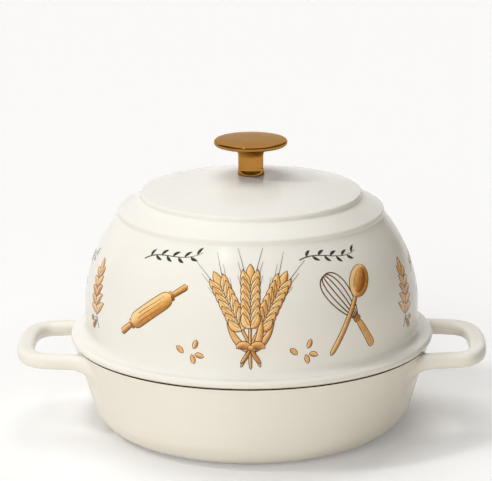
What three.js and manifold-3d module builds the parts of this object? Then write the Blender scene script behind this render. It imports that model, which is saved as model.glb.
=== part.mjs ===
// Enamelled cast-iron dutch oven: a shallow base with two loop handles and a high domed lid.
// Millimetres, Z up. The origin is the centre of the underside, and X runs through the handles.

import * as THREE from 'three';
import { mergeVertices, toCreasedNormals } from 'three/addons/utils/BufferGeometryUtils.js';
import Module from 'manifold-3d';

// Base bowl
const RIM_RADIUS = 130; // outer radius at the rim
const BASE_HEIGHT = 66.5;
const WALL_LEAN = THREE.MathUtils.degToRad(15.5); // how far the wall leans out from upright
const BOWL_CORNER_RADIUS = 28.5; // outside curve from the underside into the wall
const BASE_WALL = 3.8; // measured square to the wall
const BASE_FLOOR = 4.4;
const RIM_EDGE_RADIUS = 0.9;
const FOOT_RING_WIDTH = 11; // flat ring that the base stands on
const FOOT_RECESS = 0.8; // how far the underside inside that ring is set back
const FOOT_RECESS_SLOPE = 2; // width of the slope between ring and recess

// Loop handles
const HANDLE_REACH = 41.5; // how far a handle stands out past the rim
const HANDLE_HALF_WIDTH = 50; // outside half width where the bars cross the rim line
const HANDLE_TAPER = THREE.MathUtils.degToRad(9); // how far each bar turns in
const HANDLE_BAR_WIDTH = 13;
const HANDLE_BAR_THICKNESS = 10.5;
const HANDLE_BAR_ROUNDING = 4.5;
const HANDLE_DROP = 1.8; // from the rim down to the top of the handle
const HANDLE_BAR_LENGTH = 18; // straight stretch of each bar past the rim line
const HANDLE_CORNER_PULL = 14; // pull of the straight bar on the rounded corner
const HANDLE_END_PULL = 24; // pull of the end bar on the rounded corner
const HANDLE_ROOT_FILLET = 9; // hollow curve from the sides of the bars into the bowl
const HANDLE_ROOT_DEPTH = 15; // and how far it runs down the bowl below the bars
const HANDLE_EMBED = 1.5; // how far the roots run into the wall

// Lid, with heights measured from its seat
const SEAT_GAP = 0.3; // clearance between pieces that rest on each other
const LIP_OVERHANG = 2; // how far the lip stands out past the rim
const LIP_THICKNESS = 5.2;
const LIP_SLOPE = 0.8; // how much the lip's top rises towards the dome
const LIP_EDGE_RADIUS = 2.5;
const LIP_FLARE_RADIUS = 6; // hollow curve from the lip up into the dome
const LOCATING_DEPTH = 4; // ring under the lid that drops inside the rim
const LOCATING_CLEARANCE = 1.2; // radial play of that ring in the base
const LOCATING_EDGE_RADIUS = 1;
const LID_WALL = 3.6;
const DOME_WALL_RADIUS = 121.3; // outer radius of the upright part of the dome
const DOME_SHOULDER_HEIGHT = 58.5; // where the upright and the leaning wall lines would meet
const DOME_SHOULDER_RADIUS = 105; // curve between those two lines
const LOWER_STEP_RADIUS = 96.3;
const LOWER_STEP_FOOT = 92.5; // height where the dome meets the lower step
const LOWER_STEP_RISE = 3.8;
const UPPER_STEP_RADIUS = 80.2;
const UPPER_STEP_FOOT = 105.2;
const UPPER_STEP_RISE = 3.5;
const STEP_EDGE_RADIUS = 3;
const STEP_FOOT_RADIUS = 2.4;
const STEP_INSIDE_RADIUS = 16; // inside curve under the upper step
const LID_HEIGHT = 120.6; // seat to the flat under the knob
const CROWN_BREAK_RADIUS = 28; // where the flat and the sloping lines of the crown would meet
const CROWN_RADIUS = 120; // curve between those two lines

// Knob, with heights measured from its foot
const KNOB_HEIGHT = 26.6;
const KNOB_TOP_BREAK_RADIUS = 14; // where the flat and the falling lines of the top would meet
const KNOB_TOP_RADIUS = 120; // curve between those two lines
const KNOB_TOP_FALL = 1.2; // from the centre of the top down to its edge
const KNOB_CAP_RADIUS = 26.5;
const KNOB_CAP_EDGE = 3.6; // height of the cap's edge
const KNOB_CAP_EDGE_RADIUS = 1.5;
const KNOB_CAP_DEPTH = 2.6; // from the cap's edge down to the neck
const KNOB_NECK_RADIUS = 9.1;
const KNOB_NECK_FLARE = 7; // hollow curve from the neck into the cap
const KNOB_FOOT_RADIUS = 9.7;
const KNOB_FOOT_HEIGHT = 4;
const KNOB_FOOT_CURVE = 10; // hollow curve from the foot into the neck
const KNOB_BORE_SPARE = 3; // bore beyond the tip of the screw

// Screw and washers
const SCREW_RADIUS = 3;
const SCREW_CLEARANCE = 0.35; // radial, in each hole that the screw passes
const SCREW_REACH = 14; // length inside the knob
const SCREW_TIP_CHAMFER = 0.8;
const SCREW_HEAD_RADIUS = 5.6;
const SCREW_HEAD_HEIGHT = 3.8;
const SCREW_HEAD_ROUNDING = 2;
const SCREW_CROSS_LENGTH = 6.4; // cross recess in the head, tip to tip
const SCREW_CROSS_WIDTH = 1.5;
const SCREW_CROSS_DEPTH = 2.2;
const FLAT_WASHER_RADIUS = 8;
const FLAT_WASHER_THICKNESS = 1.2;
const SPRING_WASHER_RADIUS = 5.4;
const SPRING_WASHER_THICKNESS = 1.6;
const SPRING_WASHER_SPLIT = THREE.MathUtils.degToRad(14); // angle of the gap in the ring

// Fineness of the facets
const LARGE_ROUND_SEGMENTS = 56;
const SMALL_ROUND_SEGMENTS = 28;
const CHORD_ERROR = 0.2; // widest gap between a rounded corner and its chords
const CHORD_ERROR_SHARE = 0.5; // and the most of a small radius that it may take
const FEWEST_FILLET_STEPS = 2;
const HANDLE_LOOP_STEPS = 26;
const HANDLE_ROOT_STEPS = 4;
const BAR_CORNER_STEPS = 3;
const CREASE_ANGLE = 0.6;
const MERGE_DISTANCE = 1e-4;

// Sizes that follow from the ones above
const UP = new THREE.Vector3(0, 0, 1);
const bowlRadiusAt = (height) => RIM_RADIUS - (BASE_HEIGHT - height) * Math.tan(WALL_LEAN);
const wallAcross = BASE_WALL / Math.cos(WALL_LEAN); // wall thickness measured level
const footRadius = bowlRadiusAt(0) - BOWL_CORNER_RADIUS * Math.tan((Math.PI / 2 - WALL_LEAN) / 2);
const handleHeight = BASE_HEIGHT - HANDLE_DROP - HANDLE_BAR_THICKNESS / 2;
const handleTopFillet = HANDLE_DROP - RIM_EDGE_RADIUS;
const locatingRadius = bowlRadiusAt(BASE_HEIGHT - LOCATING_DEPTH) - wallAcross - LOCATING_CLEARANCE;
const ceilingHeight = LID_HEIGHT - LID_WALL;
const screwHoleRadius = SCREW_RADIUS + SCREW_CLEARANCE;

const wasm = await Module();
wasm.setup();

// A closed geometry as a solid, with shared vertices merged and empty triangles left out.
function solidOf(geometry) {
  const bare = geometry.clone();
  bare.deleteAttribute('normal');
  bare.deleteAttribute('uv');
  const merged = mergeVertices(bare, MERGE_DISTANCE);
  const corners = merged.index.array;
  const kept = [];
  for (let i = 0; i < corners.length; i += 3) {
    const [a, b, c] = corners.subarray(i, i + 3);
    if (a !== b && b !== c && c !== a) kept.push(a, b, c);
  }
  return new wasm.Manifold(new wasm.Mesh({
    numProp: 3,
    vertProperties: new Float32Array(merged.attributes.position.array),
    triVerts: new Uint32Array(kept),
  }));
}

function geometryOf(solid) {
  const { vertProperties, triVerts } = solid.getMesh();
  const geometry = new THREE.BufferGeometry();
  geometry.setAttribute('position', new THREE.BufferAttribute(vertProperties, 3));
  geometry.setIndex(new THREE.BufferAttribute(triVerts, 1));
  return toCreasedNormals(geometry, CREASE_ANGLE);
}

// Points of a profile whose corners [radius, height, fillet] are rounded where a fillet is given.
// Fillets that would meet on a short side share its length.
function roundedProfile(corners) {
  const points = corners.map(([radius, height]) => new THREE.Vector2(radius, height));
  const halfTurns = points.map((corner, i) => {
    if (!corners[i][2]) return 0;
    const before = points[i - 1].clone().sub(corner);
    const after = points[i + 1].clone().sub(corner);
    return (Math.PI - before.angleTo(after)) / 2;
  });
  const reaches = corners.map(([, , fillet = 0], i) => fillet * Math.tan(halfTurns[i]));
  const share = (i, j) => Math.min(1, points[i].distanceTo(points[j]) / (reaches[i] + reaches[j]));
  return points.flatMap((corner, i) => {
    if (halfTurns[i] === 0) return [corner];
    const reach = reaches[i] * Math.min(share(i, i - 1), share(i, i + 1));
    return filletArc(points[i - 1], corner, points[i + 1], reach, halfTurns[i]);
  });
}

// The arc that touches both sides of a corner at the distance reach from it.
function filletArc(before, corner, after, reach, halfTurn) {
  const toStart = before.clone().sub(corner).normalize();
  const toEnd = after.clone().sub(corner).normalize();
  const radius = reach / Math.tan(halfTurn);
  const toCentre = toStart.clone().add(toEnd).setLength(Math.hypot(reach, radius));
  const centre = corner.clone().add(toCentre);
  const start = corner.clone().addScaledVector(toStart, reach);
  const widestStep = 2 * Math.acos(1 - Math.min(CHORD_ERROR / radius, CHORD_ERROR_SHARE));
  const steps = Math.max(FEWEST_FILLET_STEPS, Math.ceil((2 * halfTurn) / widestStep));
  const step = (Math.sign(toEnd.cross(toStart)) * 2 * halfTurn) / steps;
  return Array.from({ length: steps + 1 }, (_, k) => start.clone().rotateAround(centre, k * step));
}

// A solid of revolution about Z.
function revolve(corners, segments) {
  return solidOf(new THREE.LatheGeometry(roundedProfile(corners), segments).rotateX(Math.PI / 2));
}

// A closed surface through rings that all have the same number of points.
function loft(rings) {
  const size = rings[0].length;
  const centreOf = (ring) => ring.reduce((sum, p) => sum.add(p), new THREE.Vector3()).divideScalar(size);
  const vertices = [...rings.flat(), centreOf(rings[0]), centreOf(rings.at(-1))];
  const firstCap = vertices.length - 2;
  const lastCap = vertices.length - 1;
  const lastRing = (rings.length - 1) * size;
  const triangles = [];
  for (let j = 0; j < size; j += 1) {
    const next = (j + 1) % size;
    for (let ring = 0; ring < lastRing; ring += size) {
      triangles.push(ring + j, ring + next, ring + size + next);
      triangles.push(ring + j, ring + size + next, ring + size + j);
    }
    triangles.push(firstCap, next, j);
    triangles.push(lastCap, lastRing + j, lastRing + next);
  }
  return new THREE.BufferGeometry().setFromPoints(vertices).setIndex(triangles);
}

// The bowl's outside is a full solid, so that the handles can be joined before the hollow is cut.
function bowlOutside() {
  const recessRadius = footRadius - FOOT_RING_WIDTH;
  return revolve([
    [0, FOOT_RECESS],
    [recessRadius - FOOT_RECESS_SLOPE, FOOT_RECESS],
    [recessRadius, 0],
    [bowlRadiusAt(0), 0, BOWL_CORNER_RADIUS],
    [RIM_RADIUS, BASE_HEIGHT, RIM_EDGE_RADIUS],
    [0, BASE_HEIGHT],
  ], LARGE_ROUND_SEGMENTS);
}

// The hollow follows the outside at the wall's thickness and flares at the mouth to ease the rim's edge.
function bowlHollow() {
  const insideAt = (height) => bowlRadiusAt(height) - wallAcross;
  const mouth = BASE_HEIGHT + RIM_EDGE_RADIUS;
  return revolve([
    [0, BASE_FLOOR],
    [insideAt(BASE_FLOOR), BASE_FLOOR, BOWL_CORNER_RADIUS - BASE_WALL],
    [insideAt(BASE_HEIGHT - RIM_EDGE_RADIUS), BASE_HEIGHT - RIM_EDGE_RADIUS],
    [insideAt(mouth) + RIM_EDGE_RADIUS, mouth],
    [0, mouth],
  ], LARGE_ROUND_SEGMENTS);
}

// Section of a handle bar: a rounded rectangle across the bar and up, with the outward ray at each point.
function barSection() {
  const across = HANDLE_BAR_WIDTH / 2 - HANDLE_BAR_ROUNDING;
  const up = HANDLE_BAR_THICKNESS / 2 - HANDLE_BAR_ROUNDING;
  const centres = [[across, -up], [across, up], [-across, up], [-across, -up]];
  return centres.flatMap(([x, y], quarter) => Array.from({ length: BAR_CORNER_STEPS + 1 }, (_, k) => {
    const angle = (Math.PI / 2) * (quarter - 1 + k / BAR_CORNER_STEPS);
    const ray = new THREE.Vector2(Math.cos(angle), Math.sin(angle));
    return { offset: new THREE.Vector2(x, y).addScaledVector(ray, HANDLE_BAR_ROUNDING), ray };
  }));
}

// Centre line of a handle in plan, from the bar at +Y round to the bar at -Y.
function handlePath() {
  const rootY = HANDLE_HALF_WIDTH - HANDLE_BAR_WIDTH / 2;
  const barX = RIM_RADIUS + HANDLE_BAR_LENGTH;
  const barY = rootY - HANDLE_BAR_LENGTH * Math.tan(HANDLE_TAPER);
  const pullX = barX + HANDLE_CORNER_PULL * Math.cos(HANDLE_TAPER);
  const pullY = barY - HANDLE_CORNER_PULL * Math.sin(HANDLE_TAPER);
  const endX = RIM_RADIUS + HANDLE_REACH - HANDLE_BAR_WIDTH / 2;
  const path = new THREE.Path();
  path.moveTo(RIM_RADIUS, rootY);
  path.lineTo(barX, barY);
  path.bezierCurveTo(pullX, pullY, endX, HANDLE_END_PULL, endX, 0);
  path.bezierCurveTo(endX, -HANDLE_END_PULL, pullX, -pullY, barX, -barY);
  path.lineTo(RIM_RADIUS, -rootY);
  return path;
}

// Where a level line from a point meets the bowl's leaning wall.
function meetBowl(point, direction) {
  const along = point.x * direction.x + point.y * direction.y;
  const outside = point.x ** 2 + point.y ** 2 - bowlRadiusAt(point.z) ** 2;
  return point.clone().addScaledVector(direction, -along - Math.sqrt(along ** 2 - outside));
}

// Rings from the end of a bar down its hollow root curve and a little way into the bowl wall.
function rootRings(barRing, section, across, inward) {
  const feet = barRing.map((point, j) => {
    const { ray } = section[j];
    const upDownFillet = ray.y > 0 ? handleTopFillet : HANDLE_ROOT_DEPTH;
    const fillet = THREE.MathUtils.lerp(HANDLE_ROOT_FILLET, upDownFillet, Math.abs(ray.y));
    const aside = across.clone().multiplyScalar(fillet * ray.x);
    return meetBowl(point.clone().add(aside).addScaledVector(UP, fillet * ray.y), inward);
  });
  const curves = barRing.map((point, j) => (
    new THREE.QuadraticBezierCurve3(point, meetBowl(point, inward), feet[j])
  ));
  const rings = Array.from({ length: HANDLE_ROOT_STEPS }, (_, k) => (
    curves.map((curve) => curve.getPoint((k + 1) / HANDLE_ROOT_STEPS))
  ));
  rings.push(feet.map((foot) => foot.clone().addScaledVector(inward, HANDLE_EMBED)));
  return rings;
}

// The handle at +X: a bar of one section swept round the path, with a root at each end.
function handle() {
  const path = handlePath();
  const section = barSection();
  const stations = Array.from({ length: HANDLE_LOOP_STEPS + 1 }, (_, k) => {
    const centre = path.getPoint(k / HANDLE_LOOP_STEPS);
    const { x, y } = path.getTangent(k / HANDLE_LOOP_STEPS);
    const along = new THREE.Vector3(x, y, 0);
    const across = new THREE.Vector3(-y, x, 0);
    const ring = section.map(({ offset }) => new THREE.Vector3(centre.x, centre.y, handleHeight)
      .addScaledVector(across, offset.x)
      .addScaledVector(UP, offset.y));
    return { ring, along, across };
  });
  const first = stations[0];
  const last = stations.at(-1);
  return loft([
    ...rootRings(first.ring, section, first.across, first.along.clone().negate()).reverse(),
    ...stations.map(({ ring }) => ring),
    ...rootRings(last.ring, section, last.across, last.along),
  ]);
}

// The base is one casting: bowl and both handles.
function basePot() {
  const right = solidOf(handle());
  const left = solidOf(handle().rotateZ(Math.PI));
  return bowlOutside().add(right).add(left).subtract(bowlHollow());
}

// The lid's profile runs down its inside, round the locating ring and the lip, and up its outside.
function lidDome() {
  const insideRadius = DOME_WALL_RADIUS - LID_WALL;
  const lean = Math.atan2(DOME_WALL_RADIUS - LOWER_STEP_RADIUS, LOWER_STEP_FOOT - DOME_SHOULDER_HEIGHT);
  const insideShoulder = DOME_SHOULDER_HEIGHT - LID_WALL * Math.tan(lean / 2);
  const lipRadius = RIM_RADIUS + LIP_OVERHANG;
  return revolve([
    [screwHoleRadius, ceilingHeight],
    [CROWN_BREAK_RADIUS, ceilingHeight, CROWN_RADIUS],
    [UPPER_STEP_RADIUS, UPPER_STEP_FOOT - LID_WALL, STEP_INSIDE_RADIUS],
    [insideRadius, insideShoulder, DOME_SHOULDER_RADIUS - LID_WALL],
    [insideRadius, -LOCATING_DEPTH, LOCATING_EDGE_RADIUS],
    [locatingRadius, -LOCATING_DEPTH, LOCATING_EDGE_RADIUS],
    [locatingRadius, 0],
    [lipRadius, 0, LIP_EDGE_RADIUS],
    [lipRadius, LIP_THICKNESS, LIP_EDGE_RADIUS],
    [DOME_WALL_RADIUS, LIP_THICKNESS + LIP_SLOPE, LIP_FLARE_RADIUS],
    [DOME_WALL_RADIUS, DOME_SHOULDER_HEIGHT, DOME_SHOULDER_RADIUS],
    [LOWER_STEP_RADIUS, LOWER_STEP_FOOT, STEP_FOOT_RADIUS],
    [LOWER_STEP_RADIUS, LOWER_STEP_FOOT + LOWER_STEP_RISE, STEP_EDGE_RADIUS],
    [UPPER_STEP_RADIUS, UPPER_STEP_FOOT, STEP_FOOT_RADIUS],
    [UPPER_STEP_RADIUS, UPPER_STEP_FOOT + UPPER_STEP_RISE, STEP_EDGE_RADIUS],
    [CROWN_BREAK_RADIUS, LID_HEIGHT, CROWN_RADIUS],
    [screwHoleRadius, LID_HEIGHT],
    [screwHoleRadius, ceilingHeight],
  ], LARGE_ROUND_SEGMENTS);
}

// A mushroom knob, bored from below for the screw.
function knob() {
  const boreDepth = SCREW_REACH + KNOB_BORE_SPARE;
  const edgeTop = KNOB_HEIGHT - KNOB_TOP_FALL;
  const edgeBottom = edgeTop - KNOB_CAP_EDGE;
  return revolve([
    [0, boreDepth],
    [screwHoleRadius, boreDepth],
    [screwHoleRadius, 0],
    [KNOB_FOOT_RADIUS, 0],
    [KNOB_NECK_RADIUS, KNOB_FOOT_HEIGHT, KNOB_FOOT_CURVE],
    [KNOB_NECK_RADIUS, edgeBottom - KNOB_CAP_DEPTH, KNOB_NECK_FLARE],
    [KNOB_CAP_RADIUS, edgeBottom, KNOB_CAP_EDGE_RADIUS],
    [KNOB_CAP_RADIUS, edgeTop, KNOB_CAP_EDGE_RADIUS],
    [KNOB_TOP_BREAK_RADIUS, KNOB_HEIGHT, KNOB_TOP_RADIUS],
    [0, KNOB_HEIGHT],
  ], SMALL_ROUND_SEGMENTS);
}

// A pan-head screw, with its head at the bottom and zero at the bearing face of the head.
function screw(shankLength) {
  const turned = revolve([
    [0, -SCREW_HEAD_HEIGHT],
    [SCREW_HEAD_RADIUS, -SCREW_HEAD_HEIGHT, SCREW_HEAD_ROUNDING],
    [SCREW_HEAD_RADIUS, 0],
    [SCREW_RADIUS, 0],
    [SCREW_RADIUS, shankLength - SCREW_TIP_CHAMFER],
    [SCREW_RADIUS - SCREW_TIP_CHAMFER, shankLength],
    [0, shankLength],
  ], SMALL_ROUND_SEGMENTS);
  const slot = new THREE.BoxGeometry(SCREW_CROSS_LENGTH, SCREW_CROSS_WIDTH, 2 * SCREW_CROSS_DEPTH);
  slot.translate(0, 0, -SCREW_HEAD_HEIGHT);
  const crossSlot = slot.clone().rotateZ(Math.PI / 2);
  return turned.subtract(solidOf(slot)).subtract(solidOf(crossSlot));
}

function flatWasher() {
  return revolve([
    [screwHoleRadius, 0],
    [FLAT_WASHER_RADIUS, 0],
    [FLAT_WASHER_RADIUS, FLAT_WASHER_THICKNESS],
    [screwHoleRadius, FLAT_WASHER_THICKNESS],
    [screwHoleRadius, 0],
  ], SMALL_ROUND_SEGMENTS);
}

// A ring cut through at one place, pressed flat by the screw.
function springWasher() {
  const start = SPRING_WASHER_SPLIT / 2;
  const end = Math.PI * 2 - start;
  const ring = new THREE.Shape();
  ring.absarc(0, 0, SPRING_WASHER_RADIUS, start, end, false);
  ring.absarc(0, 0, screwHoleRadius, end, start, true);
  ring.closePath();
  return solidOf(new THREE.ExtrudeGeometry(ring, {
    depth: SPRING_WASHER_THICKNESS,
    bevelEnabled: false,
    curveSegments: SMALL_ROUND_SEGMENTS / 2, // an arc has two steps for each of these
  }));
}

const baseEnamel = new THREE.MeshStandardMaterial({ color: '#efe9dc', roughness: 0.22, metalness: 0 });
const lidEnamel = new THREE.MeshStandardMaterial({ color: '#f4f1ea', roughness: 0.2, metalness: 0 });
const gold = new THREE.MeshStandardMaterial({ color: '#b98a48', roughness: 0.32, metalness: 1 });
const steel = new THREE.MeshStandardMaterial({ color: '#b9bbbe', roughness: 0.38, metalness: 1 });

function piece(name, solid, material, height = 0) {
  const mesh = new THREE.Mesh(geometryOf(solid), material.clone());
  mesh.name = name;
  mesh.position.z = height;
  return mesh;
}

// The lid and what is fastened to it, from the seat upwards.
function lidAssembly() {
  const knobFoot = LID_HEIGHT + SEAT_GAP;
  const flatWasherFoot = ceilingHeight - SEAT_GAP - FLAT_WASHER_THICKNESS;
  const springWasherFoot = flatWasherFoot - SEAT_GAP - SPRING_WASHER_THICKNESS;
  const screwBearing = springWasherFoot - SEAT_GAP;
  const lid = new THREE.Group();
  lid.position.z = BASE_HEIGHT + SEAT_GAP;
  lid.add(piece('lid_dome', lidDome(), lidEnamel));
  lid.add(piece('lid_knob', knob(), gold, knobFoot));
  lid.add(piece('knob_flat_washer', flatWasher(), steel, flatWasherFoot));
  lid.add(piece('knob_spring_washer', springWasher(), steel, springWasherFoot));
  lid.add(piece('knob_screw', screw(knobFoot + SCREW_REACH - screwBearing), steel, screwBearing));
  return lid;
}

const dutchOven = new THREE.Group();
dutchOven.add(piece('base_pot', basePot(), baseEnamel));
dutchOven.add(lidAssembly());

export default dutchOven;
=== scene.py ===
"""Looks of the enamelled dutch oven: fine meshes, finishes, print, floor, light and camera.

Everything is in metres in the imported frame: Z up, the origin under the centre of the base, and X
through the handles. The camera stands in front, at -Y.
"""

import bisect
import itertools
import math

import bmesh
import bpy
from mathutils import Matrix, Vector


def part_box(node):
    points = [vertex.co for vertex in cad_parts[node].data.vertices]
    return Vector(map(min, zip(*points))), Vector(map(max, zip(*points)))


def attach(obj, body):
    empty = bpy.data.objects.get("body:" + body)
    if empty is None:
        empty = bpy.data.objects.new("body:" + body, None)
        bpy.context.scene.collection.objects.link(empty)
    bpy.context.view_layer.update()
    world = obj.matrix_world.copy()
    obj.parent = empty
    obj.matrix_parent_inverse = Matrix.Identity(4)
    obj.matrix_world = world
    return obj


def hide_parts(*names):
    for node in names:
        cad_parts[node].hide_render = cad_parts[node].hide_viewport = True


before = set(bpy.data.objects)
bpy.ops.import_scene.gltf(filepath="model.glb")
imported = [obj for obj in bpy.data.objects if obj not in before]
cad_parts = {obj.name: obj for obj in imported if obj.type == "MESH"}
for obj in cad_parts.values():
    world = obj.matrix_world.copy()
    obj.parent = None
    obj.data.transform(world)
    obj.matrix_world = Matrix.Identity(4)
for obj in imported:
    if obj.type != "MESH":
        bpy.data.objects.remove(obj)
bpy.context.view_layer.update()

MM = 0.001

# Base
RIM_RADIUS = 130 * MM
BASE_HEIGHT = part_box("base_pot")[1].z
WALL_LEAN = math.radians(15.5)
BOWL_CORNER_RADIUS = 28.5 * MM
BASE_WALL = 3.8 * MM
BASE_FLOOR = 4.4 * MM
RIM_EDGE_RADIUS = 0.9 * MM
RIM_BAND_WIDTH = 3.3 * MM  # of the dark band on top of the rim
RIM_BAND_DROP = 0.8 * MM  # how far it reaches down the outside
FOOT_RING_WIDTH = 11 * MM
FOOT_RECESS = 0.8 * MM
FOOT_RECESS_SLOPE = 2 * MM

# Handles
HANDLE_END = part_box("base_pot")[1].x
HANDLE_HALF_WIDTH = 50 * MM
HANDLE_TAPER = math.radians(9)
HANDLE_BAR_WIDTH = 13 * MM
HANDLE_BAR_THICKNESS = 10.5 * MM
HANDLE_BAR_ROUNDING = 4.5 * MM
HANDLE_DROP = 1.8 * MM
HANDLE_BAR_LENGTH = 18 * MM
HANDLE_CORNER_PULL = 14 * MM
HANDLE_END_PULL = 24 * MM
HANDLE_ROOT_FILLET = 9 * MM
HANDLE_ROOT_DEPTH = 15 * MM  # the same curve below the bars
HANDLE_EMBED = 1.5 * MM

# Lid, with heights measured from its seat
LOCATING_DEPTH = 4 * MM
LOCATING_CLEARANCE = 1.2 * MM
LOCATING_EDGE_RADIUS = 1 * MM
LID_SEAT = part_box("lid_dome")[0].z + LOCATING_DEPTH
LID_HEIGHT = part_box("lid_dome")[1].z - LID_SEAT
LIP_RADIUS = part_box("lid_dome")[1].y
LIP_THICKNESS = 5.2 * MM
LIP_SLOPE = 0.8 * MM
LIP_EDGE_RADIUS = 2.5 * MM
LIP_FLARE_RADIUS = 6 * MM
LID_WALL = 3.6 * MM
DOME_WALL_RADIUS = 121.3 * MM
DOME_SHOULDER_HEIGHT = 58.5 * MM
DOME_SHOULDER_RADIUS = 105 * MM
LOWER_STEP_RADIUS = 96.3 * MM
LOWER_STEP_FOOT = 92.5 * MM
LOWER_STEP_RISE = 3.8 * MM
UPPER_STEP_RADIUS = 80.2 * MM
UPPER_STEP_FOOT = 105.2 * MM
UPPER_STEP_RISE = 3.5 * MM
STEP_EDGE_RADIUS = 2.2 * MM
STEP_FOOT_RADIUS = 1.1 * MM
STEP_INSIDE_RADIUS = 16 * MM
CROWN_BREAK_RADIUS = 28 * MM
CROWN_RADIUS = 120 * MM

# Knob, with heights measured from its foot
KNOB_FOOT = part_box("lid_knob")[0].z
KNOB_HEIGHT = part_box("lid_knob")[1].z - KNOB_FOOT
KNOB_TOP_BREAK_RADIUS = 14 * MM
KNOB_TOP_RADIUS = 120 * MM
KNOB_TOP_FALL = 1.2 * MM
KNOB_CAP_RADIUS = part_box("lid_knob")[1].y
KNOB_CAP_EDGE = 3.6 * MM
KNOB_CAP_EDGE_RADIUS = 1.75 * MM
KNOB_CAP_DEPTH = 2.6 * MM
KNOB_NECK_RADIUS = 9.1 * MM
KNOB_NECK_FLARE = 7 * MM
KNOB_FOOT_RADIUS = 9.7 * MM
KNOB_FOOT_HEIGHT = 4 * MM
KNOB_FOOT_CURVE = 10 * MM
KNOB_FOOT_EDGE_RADIUS = 0.3 * MM
KNOB_BORE_DEPTH = 17 * MM

# Screw and washers
SCREW_RADIUS = 3 * MM
SCREW_HOLE_RADIUS = 3.35 * MM
SCREW_TIP_CHAMFER = 0.8 * MM
SCREW_HEAD_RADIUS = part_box("knob_screw")[1].y
SCREW_HEAD_HEIGHT = 3.8 * MM
SCREW_HEAD_ROUNDING = 2 * MM
CROSS_LENGTH = 6.4 * MM
CROSS_WIDTH = 1.5 * MM
CROSS_DEPTH = 2.2 * MM
WASHER_EDGE_RADIUS = 0.25 * MM
SPRING_WASHER_RADIUS = 5.4 * MM
SPRING_WASHER_SPLIT = math.radians(14)

# Print on the dome, whose motifs are measured in millimetres
PRINT_LIFT = 0.05 * MM  # of a motif's first stroke above the glaze
PRINT_LAYER = 0.004 * MM  # of each later stroke above the one before it
PRINT_DEPTH = 0.3 * MM  # thickness of a stroke, down into what lies under it
PRINT_OUTLINE = 0.55
PRINT_FINEST = 0.04
PRINT_SHADED_SIDE = Vector((0.6, -0.8))
PRINT_CONTRAST = 0.5  # of the shade between the middle and the side of a stroke
LINE_TAPER = 0.6  # share of its thickness that a line loses on its way
POINTED_POWER = 0.8  # lower is fuller towards the points
BAR_POWER = 8  # higher is squarer at the ends

# Fineness of the meshes
ROUND_SEGMENTS = 240
SMALL_ROUND_SEGMENTS = 96
CHORD_ERROR = 0.012 * MM
PRINT_CHORD_ERROR = 0.0001 * MM
FEWEST_FILLET_STEPS = 5
HANDLE_LOOP_STEPS = 120
HANDLE_BAR_STEPS = 15  # of them on each straight bar
HANDLE_ROOT_STEPS = 14
BAR_CORNER_STEPS = 8
STROKE_STEPS = 16
STROKE_FACET = 0.9  # the longest side of a stroke's facets, in millimetres
STROKE_FEWEST_COLUMNS = 2
STROKE_WIDTH_TRIES = 8  # steps along a stroke at which its width is looked up
SHARP_ANGLE = math.radians(38)
POLE_RADIUS = 1e-7  # a profile point closer to the axis than this is a pole
COARSEST_CHORD = 0.5  # the most of a fillet's radius that a chord may cut off

# Which finish a casting's face takes, after the pale one outside
INSIDE, BLACK = 1, 2
FLOOR_FACING = 0.7  # how far up a face of the bowl looks at least, where it is floor
SEAT_FACING = -0.9  # and a face of the lid at most, where it is seat
CEILING_FACING = -0.5  # or ceiling
RIM_TOLERANCE = 0.001 * MM

# Finishes
BASE_GLAZE = (0.885, 0.866, 0.805)
BASE_GLAZE_CLOUD = (0.87, 0.846, 0.78)
# The lid's glaze is a touch paler and cooler than the base's: a painted offset of the warm top
# light on the crown
LIGHT_OFFSET_DOME_GLAZE = (0.89, 0.875, 0.83)
LIGHT_OFFSET_DOME_GLAZE_CLOUD = (0.878, 0.86, 0.81)
GLAZE_PINHOLE = 0.72  # brightness of a pinhole against the cloud's
GLAZE_SPECULAR = 0.34
GLAZE_ROUGHNESS = (0.13, 0.24)
GLAZE_RIPPLE = 0.35 * MM
GLAZE_PEEL = 0.02 * MM
SAND = (0.78, 0.725, 0.62)
SAND_CLOUD = (0.74, 0.68, 0.57)
SAND_SPECKLE = (0.66, 0.59, 0.475)
SAND_ROUGHNESS = (0.20, 0.36)
SAND_PEEL = 0.03 * MM
GROUND_COAT = (0.020, 0.018, 0.016)
GROUND_COAT_SPECKLE = (0.050, 0.045, 0.040)
GROUND_COAT_SPECULAR = 0.18
GROUND_COAT_ROUGHNESS = (0.40, 0.56)
GROUND_COAT_GRAIN = 0.03 * MM
SATIN_GOLD = ((0.47, 0.245, 0.078), (0.43, 0.22, 0.066))
SATIN_ROUGHNESS = (0.22, 0.30)
SATIN_RINGS = 0.004 * MM
POLISHED_GOLD = ((0.45, 0.215, 0.046), (0.41, 0.19, 0.038))
POLISHED_ROUGHNESS = (0.05, 0.10)
GOLD_AT_GRAZING = (0.72, 0.62, 0.50)
SATIN_FROM = -0.5 * MM  # heights over the edge of the knob's top between which satin sets in
SATIN_TO = 0.1 * MM
STEEL = ((0.56, 0.57, 0.58), (0.47, 0.475, 0.48))
STEEL_ROUGHNESS = (0.22, 0.38)
STEEL_SCRATCHES = 0.006 * MM
PAINT_SCALE = [
    (0.0, (0.96, 0.68, 0.34)),
    (0.3, (0.86, 0.49, 0.165)),
    (0.6, (0.58, 0.245, 0.048)),
    (0.95, (0.28, 0.088, 0.012)),
]
PAINT_UNEVENNESS = (-0.12, 0.12)
PRINT_ROUGHNESS = (0.2, 0.3)
INK = ((0.15, 0.052, 0.012), (0.085, 0.029, 0.007))
GREY_INK = ((0.075, 0.068, 0.062), (0.036, 0.033, 0.030))
NOISE_LOW, NOISE_HIGH = 0.3, 0.7  # between these lie nearly all values of a noise

# Sockets of a mix node, which share their names
MIX_FACTOR = 0
MIX_FLOATS = (2, 3)
MIX_COLOURS = (6, 7)
MIX_COLOUR_RESULT = 2

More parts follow.
